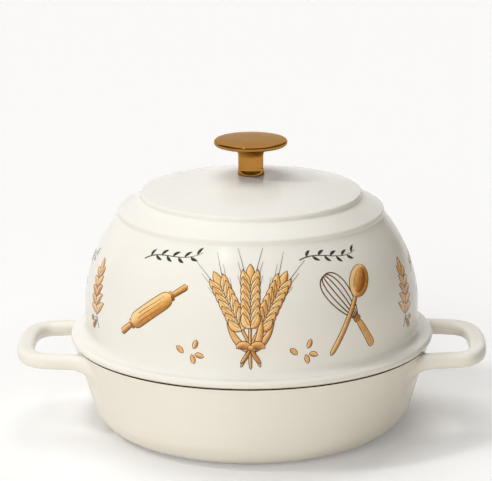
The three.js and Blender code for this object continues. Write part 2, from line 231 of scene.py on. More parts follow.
# Picture
PICTURE_WIDTH = 492
PICTURE_HEIGHT = 481
SENSOR_WIDTH = 36  # millimetres, like the lens
FOCAL_PIXELS = 2704
CAMERA_DISTANCE = 2.0
CAMERA_ELEVATION = math.radians(14.973)
CAMERA_AZIMUTH = math.radians(0.503)
CAMERA_ROLL = math.radians(-0.337)
ORIGIN_PIXEL = (252.21, 420.53)  # where the frame's origin lies in the picture

# Light, with each direction pointing towards the lamp
KEY_COLOUR = (0.96, 0.98, 1.0)
KEY_DIRECTION = Vector((-0.62, -0.24, 0.75))
KEY_LEVEL = 0.225
KEY_ANGLE = math.radians(7)
TOP_COLOUR = (1.0, 0.98, 0.94)
TOP_DIRECTION = Vector((-0.17, 0.22, 0.96))
TOP_LEVEL = 0.51
TOP_ANGLE = math.radians(50)
FRONT_COLOUR = (1.0, 0.995, 0.975)
FRONT_DIRECTION = Vector((-0.31, -0.93, 0.20))
FRONT_LEVEL = 0.64
FRONT_ANGLE = math.radians(60)
SPARK_DIRECTION = Vector((-0.29, -0.55, 0.785))
SPARK_DISTANCE = 1.4
SPARK_SIZE = 0.11
SPARK_POWER = 0.65
SUN_DISTANCE = 3.0
FILL_COLOUR = (1.0, 0.82, 0.60)
FILL_LEVEL = 0.05
BACKGROUND_COLOUR = (0.956, 0.947, 0.931)
FLOOR_COLOUR = (0.835, 0.835, 0.84)
FLOOR_GLOW = (0.245, 0.249, 0.258)
FLOOR_GLOW_IN_PAINTED_SHADE = 0.70  # share of it close to the oven: painted shade round the oven's foot, which deepens its shadow there and makes up for the light the oven throws on the floor
# Between these radii the painted shade round the oven fades into the full glow
PAINTED_SHADE_NEAR_RADIUS = 0.12
PAINTED_SHADE_FAR_RADIUS = 0.36
FLOOR_BOUNCE = (0.82, 0.765, 0.675)  # share of the light that the floor throws back on the oven
FLOOR_SIZE = 14.0
SCREEN_RADIUS = 2.6
SCREEN_HEIGHT = 3.6
SCREEN_LEFT = math.radians(-120)  # how far it reaches round to each side
SCREEN_RIGHT = math.radians(150)
SCREEN_STEPS = 48
SCREEN_COLOUR = (0.30, 0.27, 0.23)


def add_node(material, kind, inputs=None, **settings):
    """A new node with its settings. Each input is a plain value or another node's output."""
    node = material.node_tree.nodes.new(kind)
    for key, value in settings.items():
        setattr(node, key, value)
    for key, value in (inputs or {}).items():
        join(material, value, node.inputs[key])
    return node


def join(material, value, socket):
    if isinstance(value, bpy.types.NodeSocket):
        material.node_tree.links.new(value, socket)
    else:
        socket.default_value = value


def new_material(name):
    """A material, its Principled shader and the place of a point on the piece, in metres."""
    material = bpy.data.materials.new(name)
    material.use_nodes = True
    shader = material.node_tree.nodes["Principled BSDF"]
    place = add_node(material, "ShaderNodeTexCoord").outputs["Object"]
    return material, shader, place


def noise(material, place, scale, detail=2.0, roughness=0.5):
    inputs = {"Vector": place, "Scale": scale, "Detail": detail, "Roughness": roughness}
    return add_node(material, "ShaderNodeTexNoise", inputs).outputs["Fac"]


def spread(material, value, low, high, to_low=0.0, to_high=1.0):
    """The value's range from low to high, stretched to another range and cut off there."""
    inputs = {"Value": value, "From Min": low, "From Max": high}
    inputs |= {"To Min": to_low, "To Max": to_high}
    return add_node(material, "ShaderNodeMapRange", inputs).outputs["Result"]


def drift(material, value, low=0.0, high=1.0):
    """A noise stretched so that it drifts between two values."""
    return spread(material, value, NOISE_LOW, NOISE_HIGH, low, high)


def mix_colours(material, factor, first, second):
    node = add_node(material, "ShaderNodeMix", data_type="RGBA")
    join(material, factor, node.inputs[MIX_FACTOR])
    for colour, socket in zip((first, second), MIX_COLOURS):
        join(material, colour, node.inputs[socket])
    return node.outputs[MIX_COLOUR_RESULT]


def tones(material, factor, colours):
    """A tint that goes from one colour to another with a factor."""
    return mix_colours(material, factor, *(rgba(colour) for colour in colours))


def ramp(material, value, stops):
    """The colour that a value has on a scale of (place, colour) stops."""
    node = add_node(material, "ShaderNodeValToRGB", {"Fac": value})
    scale = node.color_ramp.elements
    while len(scale) < len(stops):
        scale.new(1.0)
    for element, (place, colour) in zip(scale, stops):
        element.position = place
        element.color = rgba(colour)
    return node.outputs["Color"]


def calculate(material, operation, first, second):
    node = add_node(material, "ShaderNodeMath", operation=operation)
    join(material, first, node.inputs[0])
    join(material, second, node.inputs[1])
    return node.outputs[0]


def vector_length(material, vector):
    node = add_node(material, "ShaderNodeVectorMath", {0: vector}, operation="LENGTH")
    return node.outputs["Value"]


def bump(material, height, distance, strength=1.0, normal=None):
    inputs = {"Height": height, "Distance": distance, "Strength": strength}
    if normal:
        inputs["Normal"] = normal
    return add_node(material, "ShaderNodeBump", inputs).outputs["Normal"]


def rgba(colour):
    return (*colour, 1.0)


def dress(material, shader, colour, roughness, normal=None):
    """The material with its colour, roughness and relief joined to its shader."""
    join(material, colour, shader.inputs["Base Color"])
    join(material, roughness, shader.inputs["Roughness"])
    if normal:
        join(material, normal, shader.inputs["Normal"])
    return material


def enamel(name, colour, cloud_colour):
    """Vitreous enamel: a pale glaze with faint clouds, pinholes and a slow ripple."""
    material, shader, place = new_material(name)
    shader.inputs["Specular IOR Level"].default_value = GLAZE_SPECULAR
    clouds = spread(material, noise(material, place, scale=16, detail=3), low=0.42, high=0.72)
    tint = tones(material, clouds, (colour, cloud_colour))
    pinholes = spread(material, noise(material, place, scale=900, detail=1), low=0.80, high=0.84)
    pinhole_colour = rgba([GLAZE_PINHOLE * part for part in cloud_colour])
    pitted = mix_colours(material, pinholes, tint, pinhole_colour)
    gloss = drift(material, noise(material, place, scale=40, detail=4), *GLAZE_ROUGHNESS)
    waves = noise(material, place, scale=48, detail=1)
    ripple = bump(material, waves, GLAZE_RIPPLE, strength=0.5)
    pimples = noise(material, place, scale=380, detail=2)
    peel = bump(material, pimples, GLAZE_PEEL, strength=0.6, normal=ripple)
    return dress(material, shader, pitted, gloss, peel)


def sand_enamel(name):
    """Inside finish: sand-coloured enamel with a fine speckle."""
    material, shader, place = new_material(name)
    clouds = spread(material, noise(material, place, scale=22, detail=3), low=0.35, high=0.7)
    tint = tones(material, clouds, (SAND, SAND_CLOUD))
    specks = noise(material, place, scale=620, detail=2, roughness=0.7)
    speckle = spread(material, specks, low=0.56, high=0.70)
    speckled = mix_colours(material, speckle, tint, rgba(SAND_SPECKLE))
    gloss = drift(material, noise(material, place, scale=60, detail=4), *SAND_ROUGHNESS)
    pimples = noise(material, place, scale=420, detail=2)
    peel = bump(material, pimples, SAND_PEEL, strength=0.7)
    return dress(material, shader, speckled, gloss, peel)


def rim_enamel(name):
    """Thin black ground coat, where the pale glaze is wiped off."""
    material, shader, place = new_material(name)
    shader.inputs["Specular IOR Level"].default_value = GROUND_COAT_SPECULAR
    speckle = spread(material, noise(material, place, scale=500, detail=3), low=0.35, high=0.75)
    tint = tones(material, speckle, (GROUND_COAT, GROUND_COAT_SPECKLE))
    gloss = drift(material, noise(material, place, scale=240, detail=3), *GROUND_COAT_ROUGHNESS)
    grain = bump(material, noise(material, place, scale=700, detail=2), GROUND_COAT_GRAIN)
    return dress(material, shader, tint, gloss, grain)


def gold(name):
    """Gold plate: satin on top with fine turned rings, polished on the edge and neck."""
    material, shader, place = new_material(name)
    shader.inputs["Metallic"].default_value = 1.0
    shader.inputs["Specular Tint"].default_value = rgba(GOLD_AT_GRAZING)
    axes = add_node(material, "ShaderNodeSeparateXYZ", {"Vector": place})
    edge_top = KNOB_FOOT + KNOB_HEIGHT - KNOB_TOP_FALL
    satin = spread(material, axes.outputs["Z"], edge_top + SATIN_FROM, edge_top + SATIN_TO)
    tone = drift(material, noise(material, place, scale=120, detail=3))
    satin_tint = tones(material, tone, SATIN_GOLD)
    polished_tint = tones(material, tone, POLISHED_GOLD)
    tint = mix_colours(material, satin, polished_tint, satin_tint)
    smears = noise(material, place, scale=260, detail=3)
    satin_gloss = drift(material, smears, *SATIN_ROUGHNESS)
    polished_gloss = drift(material, smears, *POLISHED_ROUGHNESS)
    glosses = dict(zip((MIX_FACTOR, *MIX_FLOATS), (satin, polished_gloss, satin_gloss)))
    gloss = add_node(material, "ShaderNodeMix", glosses).outputs[0]
    level = {"X": axes.outputs["X"], "Y": axes.outputs["Y"]}
    across = add_node(material, "ShaderNodeCombineXYZ", level).outputs[0]
    outward = {"X": vector_length(material, across)}
    ring_place = add_node(material, "ShaderNodeCombineXYZ", outward).outputs[0]
    rings = noise(material, ring_place, scale=3500, detail=2)
    turned = bump(material, calculate(material, "MULTIPLY", rings, satin), SATIN_RINGS)
    return dress(material, shader, tint, gloss, turned)


def steel(name):
    """Stainless steel with fine scratches."""
    material, shader, place = new_material(name)
    shader.inputs["Metallic"].default_value = 1.0
    tint = tones(material, drift(material, noise(material, place, scale=300, detail=4)), STEEL)
    gloss = drift(material, noise(material, place, scale=900, detail=3), *STEEL_ROUGHNESS)
    scratches = bump(material, noise(material, place, scale=1600, detail=2), STEEL_SCRATCHES)
    return dress(material, shader, tint, gloss, scratches)


def print_gloss(material, place):
    return drift(material, noise(material, place, scale=60, detail=3), *PRINT_ROUGHNESS)


def print_paint(name):
    """Fired-on watercolour, unevenly laid: straw through gold to brown with a stroke's shade."""
    material, shader, place = new_material(name)
    shade = add_node(material, "ShaderNodeAttribute", attribute_name="shade").outputs["Fac"]
    laid = noise(material, place, scale=420, detail=4, roughness=0.7)
    brush = drift(material, laid, *PAINT_UNEVENNESS)
    tint = ramp(material, calculate(material, "ADD", shade, brush), PAINT_SCALE)
    return dress(material, shader, tint, print_gloss(material, place))


def print_ink(name, colours):
    """Fired-on ink that varies between the colours of a thin and a thick coat."""
    material, shader, place = new_material(name)
    coat = drift(material, noise(material, place, scale=300, detail=3))
    tint = tones(material, coat, colours)
    return dress(material, shader, tint, print_gloss(material, place))


def fillet_arc(before, corner, after, reach, half_turn, chord_error):
    """The arc that touches both sides of a corner at the distance reach from it."""
    to_start = (before - corner).normalized()
    to_end = (after - corner).normalized()
    radius = reach / math.tan(half_turn)
    centre = corner + (to_start + to_end).normalized() * math.hypot(reach, radius)
    spoke = corner + to_start * reach - centre
    widest_step = 2 * math.acos(1 - min(chord_error / radius, COARSEST_CHORD))
    steps = max(FEWEST_FILLET_STEPS, math.ceil(2 * half_turn / widest_step))
    turn = math.copysign(2 * half_turn, to_end.x * to_start.y - to_end.y * to_start.x)
    return [centre + Matrix.Rotation(turn * k / steps, 2) @ spoke for k in range(steps + 1)]


def rounded_profile(corners, chord_error=CHORD_ERROR):
    """Points of a profile with corners (radius, height, fillet), rounded where a fillet is."""
    points = [Vector(corner[:2]) for corner in corners]
    fillets = [corner[2] if len(corner) > 2 else 0.0 for corner in corners]
    half_turns = [0.0] * len(points)
    for i, fillet in enumerate(fillets):
        if fillet:
            between = (points[i - 1] - points[i]).angle(points[i + 1] - points[i])
            half_turns[i] = (math.pi - between) / 2
    reaches = [fillet * math.tan(turn) for fillet, turn in zip(fillets, half_turns)]
    profile = []
    for i, point in enumerate(points):
        if not half_turns[i]:
            profile.append(point)
            continue
        before, after = points[i - 1], points[i + 1]
        sides = [(points[j] - point).length / (reaches[i] + reaches[j]) for j in (i - 1, i + 1)]
        reach = reaches[i] * min(1, *sides)
        profile += fillet_arc(before, point, after, reach, half_turns[i], chord_error)
    return profile


def lathe(profile, segments, height=0.0, closed=False):
    """A mesh of revolution about Z, whose profile points on the axis become poles."""
    bm = bmesh.new()
    rings = []
    for radius, z in profile:
        spokes = segments if radius > POLE_RADIUS else 1
        angles = [2 * math.pi * k / segments for k in range(spokes)]
        rings.append([
            bm.verts.new((radius * math.cos(angle), radius * math.sin(angle), z + height))
            for angle in angles
        ])
    pairs = list(zip(rings, rings[1:]))
    if closed:
        pairs.append((rings[-1], rings[0]))
    for low, high in pairs:
        for k in range(segments):
            corners = [low[k % len(low)], low[(k + 1) % len(low)]]
            corners += [high[(k + 1) % len(high)], high[k % len(high)]]
            bm.faces.new(dict.fromkeys(corners))
    return bm


def add_piece(name, bm, materials, body, nodes=()):
    """Turns a mesh under construction into a smooth piece that rides on a body."""
    mesh = bpy.data.meshes.new(name)
    bm.to_mesh(mesh)
    bm.free()
    for material in materials:
        mesh.materials.append(material)
    mesh.shade_smooth()
    mesh.set_sharp_from_angle(angle=SHARP_ANGLE)
    piece = bpy.data.objects.new(name, mesh)
    bpy.context.scene.collection.objects.link(piece)
    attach(piece, body)
    if nodes:
        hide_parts(*nodes)


def combine(bm, tool, operation):
    """The first mesh joined with or cut by the second."""
    holders = []
    for part in (bm, tool):
        mesh = bpy.data.meshes.new("part")
        part.to_mesh(mesh)
        part.free()
        holder = bpy.data.objects.new("part", mesh)
        bpy.context.scene.collection.objects.link(holder)
        holders.append(holder)
    modifier = holders[0].modifiers.new("combine", "BOOLEAN")
    modifier.object = holders[1]
    modifier.operation = operation
    modifier.solver = "MANIFOLD"
    result = bmesh.new()
    result.from_object(holders[0], bpy.context.evaluated_depsgraph_get())
    for holder in holders:
        mesh = holder.data
        bpy.data.objects.remove(holder)
        bpy.data.meshes.remove(mesh)
    return result


def bowl_radius(height):
    return RIM_RADIUS - (BASE_HEIGHT - height) * math.tan(WALL_LEAN)


def bowl():
    """The bowl's skin from the middle of its underside over the rim to the middle of its floor."""
    across = BASE_WALL / math.cos(WALL_LEAN)
    foot = bowl_radius(0) - BOWL_CORNER_RADIUS * math.tan((math.pi / 2 - WALL_LEAN) / 2)
    recess = foot - FOOT_RING_WIDTH
    return lathe(rounded_profile([
        (0, FOOT_RECESS),
        (recess - FOOT_RECESS_SLOPE, FOOT_RECESS, FOOT_RECESS_SLOPE),
        (recess, 0, FOOT_RECESS),
        (bowl_radius(0), 0, BOWL_CORNER_RADIUS),
        (RIM_RADIUS, BASE_HEIGHT, RIM_EDGE_RADIUS),
        (RIM_RADIUS - RIM_BAND_WIDTH, BASE_HEIGHT),
        (RIM_RADIUS - across, BASE_HEIGHT, RIM_EDGE_RADIUS),
        (bowl_radius(BASE_FLOOR) - across, BASE_FLOOR, BOWL_CORNER_RADIUS - BASE_WALL),
        (0, BASE_FLOOR),
    ]), ROUND_SEGMENTS)


def bar_section():
    """Points across and up of a handle bar's rounded section, each with the ray that leaves it."""
    across = HANDLE_BAR_WIDTH / 2 - HANDLE_BAR_ROUNDING
    up = HANDLE_BAR_THICKNESS / 2 - HANDLE_BAR_ROUNDING
    section = []
    for quarter, centre in enumerate([(across, -up), (across, up), (-across, up), (-across, -up)]):
        for k in range(BAR_CORNER_STEPS + 1):
            angle = math.pi / 2 * (quarter - 1 + k / BAR_CORNER_STEPS)
            ray = Vector((math.cos(angle), math.sin(angle)))
            section.append((Vector(centre) + ray * HANDLE_BAR_ROUNDING, ray))
    return section


def bezier(points, t):
    """The point of a Bezier curve at t, and its direction there."""
    while len(points) > 2:
        points = [a.lerp(b, t) for a, b in zip(points, points[1:])]
    return points[0].lerp(points[1], t), (points[1] - points[0]).normalized()


def handle_stations():
    """Centres and directions along a handle in plan, from the bar at +Y round to the bar at -Y."""
    root_y = HANDLE_HALF_WIDTH - HANDLE_BAR_WIDTH / 2
    root = Vector((RIM_RADIUS, root_y))
    along_bar = Vector((math.cos(HANDLE_TAPER), -math.sin(HANDLE_TAPER)))
    bar_end = root + along_bar * HANDLE_BAR_LENGTH / math.cos(HANDLE_TAPER)
    end_x = HANDLE_END - HANDLE_BAR_WIDTH / 2
    middle = Vector((end_x, 0))
    pulls = [bar_end + along_bar * HANDLE_CORNER_PULL, Vector((end_x, HANDLE_END_PULL))]
    corner = [bar_end, *pulls, middle]
    corner_steps = HANDLE_LOOP_STEPS // 2 - HANDLE_BAR_STEPS
    bar_ways = [k / HANDLE_BAR_STEPS for k in range(HANDLE_BAR_STEPS)]
    half = [(root.lerp(bar_end, way), along_bar) for way in bar_ways]
    half += [bezier(corner, k / corner_steps) for k in range(corner_steps + 1)]
    mirrored = [(Vector((c.x, -c.y)), Vector((-d.x, d.y))) for c, d in reversed(half[:-1])]
    return half + mirrored


def meet_bowl(point, direction):
    """Where a level line from a point meets the bowl's leaning wall."""
    along = point.x * direction.x + point.y * direction.y
    outside = point.x**2 + point.y**2 - bowl_radius(point.z) ** 2
    return point - direction * (along + math.sqrt(along**2 - outside))


def root_rings(bar_ring, section, across, inward):
    """Rings from the end of a bar down its hollow root curve and a little into the bowl's wall."""
    top_fillet = HANDLE_DROP - RIM_EDGE_RADIUS
    curves = []
    for point, (_, ray) in zip(bar_ring, section):
        up_down_fillet = top_fillet if ray.y > 0 else HANDLE_ROOT_DEPTH
        fillet = HANDLE_ROOT_FILLET + (up_down_fillet - HANDLE_ROOT_FILLET) * abs(ray.y)
        spread_out = across * (fillet * ray.x) + Vector((0, 0, fillet * ray.y))
        foot = meet_bowl(point + spread_out, inward)
        curves.append([point, meet_bowl(point, inward), foot])
    rings = []
    for k in range(HANDLE_ROOT_STEPS):
        rings.append([bezier(curve, (k + 1) / HANDLE_ROOT_STEPS)[0] for curve in curves])
    rings.append([foot + inward * HANDLE_EMBED for _, _, foot in curves])
    return rings


def loft(rings):
    """A closed skin through rings of points, with a flat cap at each end."""
    bm = bmesh.new()
    loops = [[bm.verts.new(point) for point in ring] for ring in rings]
    size = len(loops[0])
    for near, far in zip(loops, loops[1:]):
        for j in range(size):
            bm.faces.new((near[j], near[(j + 1) % size], far[(j + 1) % size], far[j]))
    bm.faces.new(reversed(loops[0]))
    bm.faces.new(loops[-1])
    return bm


def handle(turn):
    """A loop handle at +X, turned about Z."""
    section = bar_section()
    height = BASE_HEIGHT - HANDLE_DROP - HANDLE_BAR_THICKNESS / 2
    stations = []
    for centre, direction in handle_stations():
        across = Vector((-direction.y, direction.x, 0))
        middle = Vector((centre.x, centre.y, height))
        ring = [middle + across * offset.x + Vector((0, 0, offset.y)) for offset, _ in section]
        stations.append((ring, direction.to_3d(), across))
    first_ring, first_along, first_across = stations[0]
    last_ring, last_along, last_across = stations[-1]
    rings = root_rings(first_ring, section, first_across, -first_along)[::-1]
    rings += [ring for ring, _, _ in stations]
    rings += root_rings(last_ring, section, last_across, last_along)
    bm = loft(rings)
    bm.transform(Matrix.Rotation(turn, 4, "Z"))
    return bm


def add_base():
    """Bowl and handles as one casting: pale outside, black rim, sand-coloured inside."""
    bm = combine(bowl(), handle(0), "UNION")
    bm = combine(bm, handle(math.pi), "UNION")
    for face in bm.faces:
        middle = face.calc_center_median()
        radius = math.hypot(middle.x, middle.y)
        normal = face.normal
        faces_in = normal.x * middle.x + normal.y * middle.y < 0 or normal.z > FLOOR_FACING
        within = normal.z > 0 and radius < bowl_radius(middle.z) - BASE_WALL / 2
        on_rim = middle.z > BASE_HEIGHT - RIM_BAND_DROP
        if on_rim and RIM_RADIUS - RIM_BAND_WIDTH < radius < RIM_RADIUS + RIM_TOLERANCE:
            face.material_index = BLACK
        elif faces_in and within:
            face.material_index = INSIDE
    materials = [
        enamel("base_enamel", BASE_GLAZE, BASE_GLAZE_CLOUD),
        sand_enamel("base_inside"),
        rim_enamel("base_rim"),
    ]
    add_piece("pot_casting", bm, materials, "base", ["base_pot"])


def lid_outside():
    """Corners of the lid's outside from the lip up to the crown."""
    return [
        (LIP_RADIUS, 0, LIP_EDGE_RADIUS),
        (LIP_RADIUS, LIP_THICKNESS, LIP_EDGE_RADIUS),
        (DOME_WALL_RADIUS, LIP_THICKNESS + LIP_SLOPE, LIP_FLARE_RADIUS),
        (DOME_WALL_RADIUS, DOME_SHOULDER_HEIGHT, DOME_SHOULDER_RADIUS),
        (LOWER_STEP_RADIUS, LOWER_STEP_FOOT, STEP_FOOT_RADIUS),
        (LOWER_STEP_RADIUS, LOWER_STEP_FOOT + LOWER_STEP_RISE, STEP_EDGE_RADIUS),
        (UPPER_STEP_RADIUS, UPPER_STEP_FOOT, STEP_FOOT_RADIUS),
        (UPPER_STEP_RADIUS, UPPER_STEP_FOOT + UPPER_STEP_RISE, STEP_EDGE_RADIUS),
        (CROWN_BREAK_RADIUS, LID_HEIGHT, CROWN_RADIUS),
        (SCREW_HOLE_RADIUS, LID_HEIGHT),
    ]


def add_lid():
    """The domed lid: pale outside, black seat, sand-coloured inside."""
    inside_radius = DOME_WALL_RADIUS - LID_WALL
    shoulder_rise = LOWER_STEP_FOOT - DOME_SHOULDER_HEIGHT
    lean = math.atan2(DOME_WALL_RADIUS - LOWER_STEP_RADIUS, shoulder_rise)
    inside_shoulder = DOME_SHOULDER_HEIGHT - LID_WALL * math.tan(lean / 2)
    across = BASE_WALL / math.cos(WALL_LEAN)
    locating_radius = bowl_radius(BASE_HEIGHT - LOCATING_DEPTH) - across - LOCATING_CLEARANCE
    ceiling = LID_HEIGHT - LID_WALL
    profile = rounded_profile([
        (SCREW_HOLE_RADIUS, ceiling),
        (CROWN_BREAK_RADIUS, ceiling, CROWN_RADIUS),
        (UPPER_STEP_RADIUS, UPPER_STEP_FOOT - LID_WALL, STEP_INSIDE_RADIUS),
        (inside_radius, inside_shoulder, DOME_SHOULDER_RADIUS - LID_WALL),
        (inside_radius, -LOCATING_DEPTH, LOCATING_EDGE_RADIUS),
        (locating_radius, -LOCATING_DEPTH, LOCATING_EDGE_RADIUS),
        (locating_radius, 0),
        *lid_outside(),
    ])
    bm = lathe(profile, ROUND_SEGMENTS, LID_SEAT, closed=True)
    bmesh.ops.recalc_face_normals(bm, faces=bm.faces)
    for face in bm.faces:
        middle = face.calc_center_median()
        radius = math.hypot(middle.x, middle.y)
        normal = face.normal
        on_seat = locating_radius < radius < LIP_RADIUS - LIP_EDGE_RADIUS
        if on_seat and normal.z < SEAT_FACING:
            face.material_index = BLACK
        elif normal.x * middle.x + normal.y * middle.y < 0 or normal.z < CEILING_FACING:
            face.material_index = INSIDE
    materials = [
        enamel("lid_enamel", LIGHT_OFFSET_DOME_GLAZE, LIGHT_OFFSET_DOME_GLAZE_CLOUD),
        sand_enamel("lid_inside"),
        rim_enamel("lid_seat"),
    ]
    add_piece("lid_casting", bm, materials, "lid", ["lid_dome"])


def add_knob():
    edge_top = KNOB_HEIGHT - KNOB_TOP_FALL
    edge_bottom = edge_top - KNOB_CAP_EDGE
    profile = rounded_profile([
        (0, KNOB_BORE_DEPTH),
        (SCREW_HOLE_RADIUS, KNOB_BORE_DEPTH),
        (SCREW_HOLE_RADIUS, 0, KNOB_FOOT_EDGE_RADIUS),
        (KNOB_FOOT_RADIUS, 0, KNOB_FOOT_EDGE_RADIUS),
        (KNOB_NECK_RADIUS, KNOB_FOOT_HEIGHT, KNOB_FOOT_CURVE),
        (KNOB_NECK_RADIUS, edge_bottom - KNOB_CAP_DEPTH, KNOB_NECK_FLARE),
        (KNOB_CAP_RADIUS, edge_bottom, KNOB_CAP_EDGE_RADIUS),
        (KNOB_CAP_RADIUS, edge_top, KNOB_CAP_EDGE_RADIUS),
        (KNOB_TOP_BREAK_RADIUS, KNOB_HEIGHT, KNOB_TOP_RADIUS),
        (0, KNOB_HEIGHT),
    ])
    bm = lathe(profile, SMALL_ROUND_SEGMENTS, KNOB_FOOT)
    add_piece("knob_turned", bm, [gold("knob_gold")], "lid", ["lid_knob"])


def add_screw(material):
    """Pan-head screw with a cross recess in its head, which points down."""
    low, high = (corner.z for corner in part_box("knob_screw"))
    bearing = low + SCREW_HEAD_HEIGHT
    profile = rounded_profile([
        (0, low),
        (SCREW_HEAD_RADIUS, low, SCREW_HEAD_ROUNDING),
        (SCREW_HEAD_RADIUS, bearing, WASHER_EDGE_RADIUS),
        (SCREW_RADIUS, bearing),
        (SCREW_RADIUS, high - SCREW_TIP_CHAMFER),
        (SCREW_RADIUS - SCREW_TIP_CHAMFER, high),
        (0, high),
    ])
    bm = lathe(profile, SMALL_ROUND_SEGMENTS)
    for turn in (0, math.pi / 2):
        bar = bmesh.new()
        bmesh.ops.create_cube(bar, size=1)
        bar.transform(Matrix.Diagonal((CROSS_LENGTH, CROSS_WIDTH, 2 * CROSS_DEPTH, 1)))
        bar.transform(Matrix.Translation((0, 0, low)) @ Matrix.Rotation(turn, 4, "Z"))
        bm = combine(bm, bar, "DIFFERENCE")
    add_piece("screw_recessed", bm, [material], "lid", ["knob_screw"])


def add_flat_washer(material):
    low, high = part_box("knob_flat_washer")
    profile = rounded_profile([
        (SCREW_HOLE_RADIUS, (low.z + high.z) / 2),
        (SCREW_HOLE_RADIUS, low.z, WASHER_EDGE_RADIUS),
        (high.y, low.z, WASHER_EDGE_RADIUS),
        (high.y, high.z, WASHER_EDGE_RADIUS),
        (SCREW_HOLE_RADIUS, high.z, WASHER_EDGE_RADIUS),
        (SCREW_HOLE_RADIUS, (low.z + high.z) / 2),
    ])[:-1]
    bm = lathe(profile, SMALL_ROUND_SEGMENTS, closed=True)
    add_piece("washer_flat", bm, [material], "lid", ["knob_flat_washer"])


def add_spring_washer(material):
    """A square ring split across, swept round from one side of the split to the other."""
    low, high = (corner.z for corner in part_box("knob_spring_washer"))
    edge = WASHER_EDGE_RADIUS
    section = rounded_profile([
        (SCREW_HOLE_RADIUS, (low + high) / 2),
        (SCREW_HOLE_RADIUS, low, edge),
        (SPRING_WASHER_RADIUS, low, edge),
        (SPRING_WASHER_RADIUS, high, edge),
        (SCREW_HOLE_RADIUS, high, edge),
        (SCREW_HOLE_RADIUS, (low + high) / 2),
    ])[:-1]
    sweep = 2 * math.pi - SPRING_WASHER_SPLIT
    rings = []
    for k in range(SMALL_ROUND_SEGMENTS + 1):
        angle = SPRING_WASHER_SPLIT / 2 + sweep * k / SMALL_ROUND_SEGMENTS
        rings.append([Vector((r * math.cos(angle), r * math.sin(angle), z)) for r, z in section])
    bm = loft(rings)
    bmesh.ops.recalc_face_normals(bm, faces=bm.faces)
    add_piece("washer_spring", bm, [material], "lid", ["knob_spring_washer"])


class Print:
    """The print on the dome, made of strokes along curves, each a hair above the one before it.

    A motif is drawn in millimetres, with X to the right and Y up from the place that move_to names.
    """

    def __init__(self):
        self.wall = rounded_profile([
            (DOME_WALL_RADIUS, 0),
            (DOME_WALL_RADIUS, DOME_SHOULDER_HEIGHT, DOME_SHOULDER_RADIUS),
            (LOWER_STEP_RADIUS, LOWER_STEP_FOOT),
        ], PRINT_CHORD_ERROR)
        sides = [(high - low).length for low, high in zip(self.wall, self.wall[1:])]
        self.ways = list(itertools.accumulate(sides, initial=0.0))
        self.sheets = {name: bmesh.new() for name in ("paint", "ink", "grey")}
        for sheet in self.sheets.values():
            sheet.verts.layers.float.new("shade")

    def move_to(self, angle, height, turn=0.0):
        """Starts a motif at an angle from the front, in degrees, and a height up the wall."""
        self.angle = math.radians(angle)
        self.height = height
        self.lift = PRINT_LIFT
        self.turn_to(turn)

    def turn_to(self, turn):
        self.turn = Matrix.Rotation(math.radians(turn), 2)

    def on_dome(self, point):
        """Where a point of the motif lies on the dome, at the height of the present stroke."""
        turned = self.turn @ point
        way = (self.height + turned.y) * MM
        k = min(bisect.bisect(self.ways, way), len(self.wall) - 1)
        side = (self.wall[k] - self.wall[k - 1]).normalized()
        outward = Vector((side.y, -side.x))
        radius, z = self.wall[k - 1] + side * (way - self.ways[k - 1]) + outward * self.lift
        angle = self.angle + turned.x * MM / radius
        return Vector((radius * math.sin(angle), -radius * math.cos(angle), LID_SEAT + z))

    def stroke(self, sheet_name, spine, width, tone=0.0, margin=0.0):
        """Lays a stroke along a Bezier spine, with its width a function of the way from 0 to 1."""
        self.lift += PRINT_LAYER
        sheet = self.sheets[sheet_name]
        shade = sheet.verts.layers.float["shade"]
        points = [Vector(point) for point in spine]
        length = (points[-1] - points[0]).length
        past_ends = margin / length
        steps = max(STROKE_STEPS, math.ceil(math.pi / 2 * length / STROKE_FACET))
        widest = max(width(k / STROKE_WIDTH_TRIES) for k in range(STROKE_WIDTH_TRIES + 1))
        columns = max(STROKE_FEWEST_COLUMNS, math.ceil(widest / STROKE_FACET))
        rows = []
        for step in range(steps + 1):
            way = 0.5 - (0.5 + past_ends) * math.cos(math.pi * step / steps)
            on_spine = min(1.0, max(0.0, way))
            past = abs(way - on_spine) / past_ends if margin else 0.0
            grown = margin * math.sqrt(max(0.0, 1 - past**2))
            half_width = max(PRINT_FINEST, width(on_spine)) / 2 + grown
            middle, along = bezier(points, way)
            aside = Vector((-along.y, along.x))
            row = []
            for column in range(columns + 1):
                across = 2 * column / columns - 1
                vertex = sheet.verts.new(self.on_dome(middle + aside * (half_width * across)))
                sideways = self.turn @ aside * across
                vertex[shade] = tone + PRINT_CONTRAST * sideways.dot(PRINT_SHADED_SIDE)
                row.append(vertex)
            rows.append(row)
        for near, far in zip(rows, rows[1:]):
            for k in range(columns):
                sheet.faces.new((near[k], far[k], far[k + 1], near[k + 1]))

    def paint(self, spine, width, tone):
        """A stroke of paint with an outline of ink."""
        self.stroke("ink", spine, width, margin=PRINT_OUTLINE)
        self.stroke("paint", spine, width, tone)

    def line(self, sheet_name, spine, thickness):
        """A fine line that runs out towards its end."""
        self.stroke(sheet_name, spine, lambda way: thickness * (1 - LINE_TAPER * way))


def pointed(width):
    return lambda way: width * math.sin(math.pi * way) ** POINTED_POWER


def oval(width, power=2):
    return lambda way: width * math.sqrt(max(0.0, 1 - (2 * way - 1) ** power))


def bar(start, end):
    """Straight sides with rounded ends."""
    ends = oval(1, BAR_POWER)
    return lambda way: (start + (end - start) * way) * ends(way)


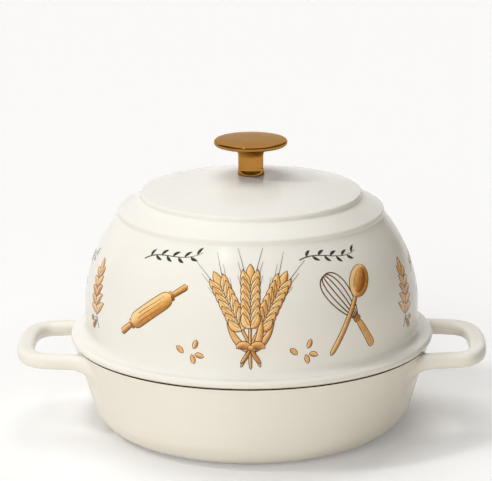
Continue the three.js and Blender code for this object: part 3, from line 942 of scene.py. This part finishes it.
def wheat_ear(art, side):
    """An ear of two rows of kernels with awns, on a stem with one leaf to a side."""
    art.paint([(0, -15), (-side, 4), (0, 20)], bar(1.6, 1.3), 0.4)
    art.paint([(0, -4), (side * 8, 4), (side * 7, 22)], pointed(4.2), 0.35)
    for row in (-1, 1):
        for pair in (6, 4, 2):
            foot = Vector((row * 3.6, 21 + 5 * pair))
            bend, tip = foot + Vector((row * 2.4, 10)), foot + Vector((row * 5, 19))
            art.line("ink", [foot, bend, tip], 0.5)
    art.paint([(0, 46), (0, 52), (0, 58)], pointed(5), 0.2)
    for pair in range(6, -1, -1):
        under = art.lift
        for row in (-1, 1):
            art.lift = under
            foot = Vector((row * 0.2, 14 + 5 * pair))
            tip = foot + Vector((row * 4.8, 10))
            tone = 0.15 + 0.06 * (pair % 3)
            art.paint([foot, foot + Vector((row * 4.4, 3)), tip], pointed(5.2), tone)
            art.line("ink", [foot + Vector((row, 2)), foot + Vector((row * 3, 4.5)), tip], 0.42)


def sheaf(art, angle, height):
    """Three ears in a fan, tied with a bow."""
    art.move_to(angle, height)
    for turn in (26, -26, 0):
        art.turn_to(turn)
        wheat_ear(art, math.copysign(1, -turn))
    art.turn_to(0)
    for row in (-1, 1):
        art.paint([(0, 0), (row * 4, -9), (row * 7, -11)], pointed(2.4), 0.6)
        art.paint([(0, 0), (row * 5, 4), (row * 9.5, 0)], oval(5), 0.55)
    art.paint([(-1.8, 0), (0, 0), (1.8, 0)], oval(3.6), 0.45)


def rolling_pin(art, angle, height, turn):
    art.move_to(angle, height, turn)
    for end in (-1, 1):
        art.paint([(end * 33, 0), (end * 26, 0), (end * 19, 0)], bar(4.4, 3.2), 0.5)
        art.paint([(end * 21.4, 0), (end * 20, 0), (end * 18.6, 0)], bar(6.4, 6.4), 0.75)
    art.paint([(-19.5, 0), (0, 0), (19.5, 0)], bar(11.5, 11.5), 0.3)
    for row in (-2.6, 0.4, 3):
        art.line("ink", [(-13 + row, row), (-4, row + 0.8), (6, row - 0.8), (12 + row, row)], 0.55)


def whisk(art):
    art.paint([(0, -34), (0, -22), (0, -9)], bar(5.6, 4), 0.45)
    for reach in (15, 9, 3, -3, -9, -15):
        art.stroke("ink", [(0, -9), (reach * 0.7, 4), (reach, 32), (0, 31)], lambda way: 0.9)
    art.paint([(0, -10), (0, -8), (0, -6)], bar(5, 5), 0.75)


def spoon(art):
    art.paint([(0, -35), (0.6, -12), (0, 14)], bar(3.6, 2.8), 0.4)
    art.paint([(0, 10), (0, 22), (0, 34)], oval(16), 0.3)
    art.stroke("paint", [(0, 13), (0, 22.5), (0, 32)], oval(11), 0.62)
    art.line("ink", [(-3.4, 16), (-5.4, 23), (-2.6, 30)], 0.45)


def whisk_and_spoon(art, angle, height):
    art.move_to(angle, height, 32)
    whisk(art)
    art.turn_to(-32)
    spoon(art)


def sprig(art, angle, height, turn, side):
    """A stem with leaves in pairs and a few berries."""
    art.move_to(angle, height, turn)
    art.line("ink", [(0, -24), (side * 5, -6), (0, 18)], 0.9)
    for pair in range(5):
        foot = Vector((side * (2.2 - 0.35 * (pair - 2) ** 2), -14 + 6.5 * pair))
        for row in (-1, 1):
            tip = foot + Vector((row * (10.5 - pair), 7))
            tone = 0.2 + 0.12 * (pair % 3)
            art.paint([foot, foot + Vector((row * 3, 5.5)), tip], pointed(4.8), tone)
            art.line("ink", [foot, foot + Vector((row * 3.4, 4.6)), tip], 0.35)
    art.paint([(0, 16), (0, 21), (0, 26)], pointed(4.6), 0.3)
    for x, y in ((6, -20), (10.5, -16.5), (9, -22)):
        art.line("ink", [(side * 1.4, -18), (side * 4, y + 2), (side * x, y)], 0.45)
        art.paint([(side * x, y - 1.8), (side * x, y), (side * x, y + 1.8)], oval(3.6), 0.75)


def grains(art, angle, height):
    """A few loose kernels."""
    art.move_to(angle, height)
    for x, y, turn in ((-8, 1, 50), (0, 5, -20), (7, -1, 75), (0, -6, 15)):
        art.turn_to(turn)
        foot = Matrix.Rotation(math.radians(-turn), 2) @ Vector((x, y))
        art.paint([foot, foot + Vector((0.5, 3)), foot + Vector((0, 6))], oval(3), 0.35)


def twig(art, angle, height, turn):
    """A thin grey stem with small leaves, one to each side in turn."""
    art.move_to(angle, height, turn)
    stem = [Vector(point) for point in ((-23, -3), (-8, 6), (8, -6), (23, 3))]
    art.line("grey", stem, 0.9)
    for k in range(9):
        foot, along = bezier(stem, 0.12 + 0.1 * k)
        side = Vector((-along.y, along.x)) * (-1) ** k
        tip = foot + along * 5 + side * 4
        art.stroke("grey", [foot, foot + along + side * 2.6, tip], pointed(2.2))


def add_print():
    """Kitchen motifs all round the dome, the same in front and behind."""
    art = Print()
    for turn in (0, 180):
        sheaf(art, turn, 27)
        rolling_pin(art, turn - 36, 47, 38)
        whisk_and_spoon(art, turn + 36, 47)
        for side in (-1, 1):
            sprig(art, turn + side * 66, 45, side * -14, side)
            twig(art, turn + side * 32, 87, side * -6)
            grains(art, turn + side * 19, 20)
        twig(art, turn + 90, 62, 12)
        grains(art, turn + 90, 34)
    finishes = {
        "paint": print_paint("print_paint"),
        "ink": print_ink("print_ink", INK),
        "grey": print_ink("print_grey", GREY_INK),
    }
    for name, sheet in art.sheets.items():
        sheet.normal_update()
        bmesh.ops.solidify(sheet, geom=sheet.faces[:], thickness=PRINT_DEPTH)
        bmesh.ops.recalc_face_normals(sheet, faces=sheet.faces[:])
        add_piece(f"print_{name}", sheet, [finishes[name]], "lid")


def add_camera():
    forward = Vector((
        -math.sin(CAMERA_AZIMUTH) * math.cos(CAMERA_ELEVATION),
        math.cos(CAMERA_AZIMUTH) * math.cos(CAMERA_ELEVATION),
        -math.sin(CAMERA_ELEVATION),
    ))
    level_right = forward.cross(Vector((0, 0, 1))).normalized()
    level_up = level_right.cross(forward)
    right = level_right * math.cos(CAMERA_ROLL) + level_up * math.sin(CAMERA_ROLL)
    up = level_up * math.cos(CAMERA_ROLL) - level_right * math.sin(CAMERA_ROLL)
    metres_per_pixel = CAMERA_DISTANCE / FOCAL_PIXELS
    aside = (ORIGIN_PIXEL[0] - PICTURE_WIDTH / 2) * metres_per_pixel
    above = (PICTURE_HEIGHT / 2 - ORIGIN_PIXEL[1]) * metres_per_pixel
    place = -(right * aside + up * above + forward * CAMERA_DISTANCE)
    data = bpy.data.cameras.new("camera")
    data.sensor_width = SENSOR_WIDTH
    data.lens = FOCAL_PIXELS / PICTURE_WIDTH * SENSOR_WIDTH
    camera = bpy.data.objects.new("camera", data)
    turn = Matrix((right, up, -forward)).transposed().to_4x4()
    camera.matrix_world = Matrix.Translation(place) @ turn
    bpy.context.scene.collection.objects.link(camera)
    bpy.context.scene.camera = camera


def seen_directly(tree):
    """1 for rays from the camera, off a gloss or through glass, and 0 for light on things."""
    path = tree.nodes.new("ShaderNodeLightPath")
    total = path.outputs["Is Camera Ray"]
    for name in ("Is Glossy Ray", "Is Transmission Ray"):
        node = tree.nodes.new("ShaderNodeMath")
        node.operation = "MAXIMUM"
        tree.links.new(total, node.inputs[0])
        tree.links.new(path.outputs[name], node.inputs[1])
        total = node.outputs[0]
    return total


def add_world():
    """A soft warm fill from all round, in front of a background of one pale colour."""
    world = bpy.data.worlds.new("studio")
    world.use_nodes = True
    bpy.context.scene.world = world
    tree = world.node_tree
    fill = tree.nodes["Background"]
    fill.inputs["Color"].default_value = rgba(FILL_COLOUR)
    fill.inputs["Strength"].default_value = FILL_LEVEL
    backdrop = tree.nodes.new("ShaderNodeBackground")
    backdrop.inputs["Color"].default_value = rgba(BACKGROUND_COLOUR)
    choice = tree.nodes.new("ShaderNodeMixShader")
    tree.links.new(seen_directly(tree), choice.inputs["Fac"])
    tree.links.new(fill.outputs[0], choice.inputs[1])
    tree.links.new(backdrop.outputs[0], choice.inputs[2])
    tree.links.new(choice.outputs[0], tree.nodes["World Output"].inputs["Surface"])


def add_floor():
    """A pale floor that keeps the shadow. Its glow is seen, also in gloss, but lights nothing."""
    bm = bmesh.new()
    bmesh.ops.create_grid(bm, x_segments=1, y_segments=1, size=FLOOR_SIZE / 2)
    mesh = bpy.data.meshes.new("floor")
    bm.to_mesh(mesh)
    bm.free()
    floor = bpy.data.objects.new("floor", mesh)
    bpy.context.scene.collection.objects.link(floor)
    material = bpy.data.materials.new("floor")
    material.use_nodes = True
    tree = material.node_tree
    tree.nodes.remove(tree.nodes["Principled BSDF"])
    seen = seen_directly(tree)
    paint = tree.nodes.new("ShaderNodeBsdfDiffuse")
    tint = mix_colours(material, seen, rgba(FLOOR_BOUNCE), rgba(FLOOR_COLOUR))
    tree.links.new(tint, paint.inputs["Color"])
    glow = tree.nodes.new("ShaderNodeEmission")
    glow.inputs["Color"].default_value = rgba(FLOOR_GLOW)
    # The glow is dimmed near the oven: painted shade round its foot, which deepens its shadow there
    place = add_node(material, "ShaderNodeTexCoord").outputs["Object"]
    way = vector_length(material, place)
    share = spread(material, way, PAINTED_SHADE_NEAR_RADIUS, PAINTED_SHADE_FAR_RADIUS, FLOOR_GLOW_IN_PAINTED_SHADE)
    join(material, calculate(material, "MULTIPLY", seen, share), glow.inputs["Strength"])
    total = tree.nodes.new("ShaderNodeAddShader")
    tree.links.new(paint.outputs[0], total.inputs[0])
    tree.links.new(glow.outputs[0], total.inputs[1])
    tree.links.new(total.outputs[0], tree.nodes["Material Output"].inputs["Surface"])
    mesh.materials.append(material)


def add_screen():
    """A dim screen round the front and both sides, seen only where glossy things reflect it."""
    bm = bmesh.new()
    posts = []
    for k in range(SCREEN_STEPS + 1):
        angle = SCREEN_LEFT + (SCREEN_RIGHT - SCREEN_LEFT) * k / SCREEN_STEPS
        x, y = SCREEN_RADIUS * math.sin(angle), -SCREEN_RADIUS * math.cos(angle)
        posts.append([bm.verts.new((x, y, z)) for z in (0.0, SCREEN_HEIGHT)])
    for near, far in zip(posts, posts[1:]):
        bm.faces.new((near[0], far[0], far[1], near[1]))
    mesh = bpy.data.meshes.new("screen")
    bm.to_mesh(mesh)
    bm.free()
    material = bpy.data.materials.new("screen")
    material.use_nodes = True
    shader = material.node_tree.nodes["Principled BSDF"]
    shader.inputs["Base Color"].default_value = rgba(SCREEN_COLOUR)
    mesh.materials.append(material)
    screen = bpy.data.objects.new("screen", mesh)
    bpy.context.scene.collection.objects.link(screen)
    screen.visible_camera = False
    screen.visible_diffuse = False
    screen.visible_transmission = False
    screen.visible_shadow = False


def add_lamp(name, kind, direction, distance, **settings):
    """A lamp that shines from a direction towards the middle of the oven."""
    data = bpy.data.lights.new(name, kind)
    for key, value in settings.items():
        setattr(data, key, value)
    lamp = bpy.data.objects.new(name, data)
    aim = Vector((0, 0, LID_SEAT + LID_HEIGHT / 2))
    lamp.location = aim + direction.normalized() * distance
    lamp.rotation_euler = direction.to_track_quat("Z", "Y").to_euler()
    lamp.visible_camera = False
    bpy.context.scene.collection.objects.link(lamp)
    return lamp


def add_sun(name, colour, direction, level, angle):
    """A distant lamp that lights a white wall facing it to a level, and shows in no reflection."""
    settings = {"energy": level * math.pi, "angle": angle, "color": colour}
    sun = add_lamp(name, "SUN", direction, SUN_DISTANCE, **settings)
    sun.visible_glossy = False


def add_lamps():
    add_sun("key", KEY_COLOUR, KEY_DIRECTION, KEY_LEVEL, KEY_ANGLE)
    add_sun("top", TOP_COLOUR, TOP_DIRECTION, TOP_LEVEL, TOP_ANGLE)
    add_sun("front", FRONT_COLOUR, FRONT_DIRECTION, FRONT_LEVEL, FRONT_ANGLE)
    add_lamp(
        "spark", "AREA", SPARK_DIRECTION, SPARK_DISTANCE,
        energy=SPARK_POWER, shape="DISK", size=SPARK_SIZE,
    )


def main():
    add_camera()
    add_world()
    add_floor()
    add_screen()
    add_lamps()
    add_base()
    add_lid()
    add_print()
    add_knob()
    plain_steel = steel("steel")
    add_screw(plain_steel)
    add_flat_washer(plain_steel)
    add_spring_washer(plain_steel)
    bpy.context.scene.view_settings.view_transform = "Standard"


main()
